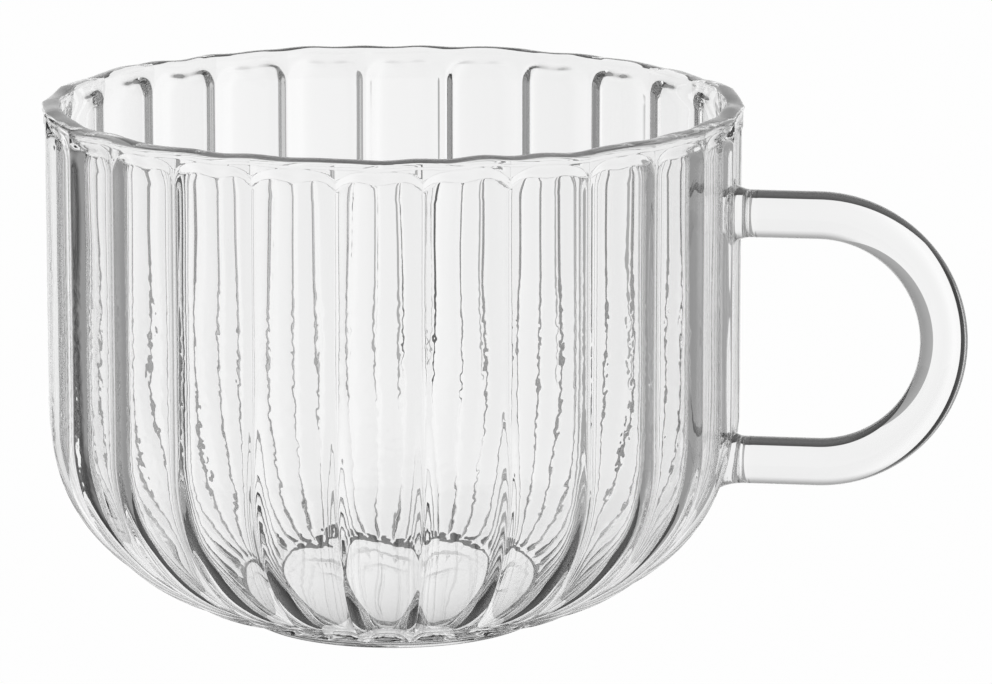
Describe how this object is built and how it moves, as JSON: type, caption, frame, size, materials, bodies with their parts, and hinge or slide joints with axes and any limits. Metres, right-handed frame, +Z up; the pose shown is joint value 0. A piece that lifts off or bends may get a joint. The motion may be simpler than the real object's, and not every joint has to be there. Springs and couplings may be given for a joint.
{
  "type": "fluted chai glass",
  "caption": "Clear fluted glass cup with a round bottom, a flat foot, a fire-polished lip and a bent glass-rod handle welded to its side, for hot chai, tea or coffee.",
  "frame": {"origin": "centre of the flat foot, on the table and on the bowl's axis", "axes": "+Z up along the bowl's axis, +X towards the handle, +Y to the left of the handle"},
  "size_m": [0.1263, 0.0958, 0.0722],
  "materials": {
    "clear_glass": "clear, colourless, fire-polished, with faint mould texture on the lower wall"
  },
  "bodies": {
    "root": {"bowl": "clear_glass", "handle": "clear_glass", "upper_weld": "clear_glass", "lower_weld": "clear_glass"}
  },
  "joints": []
}
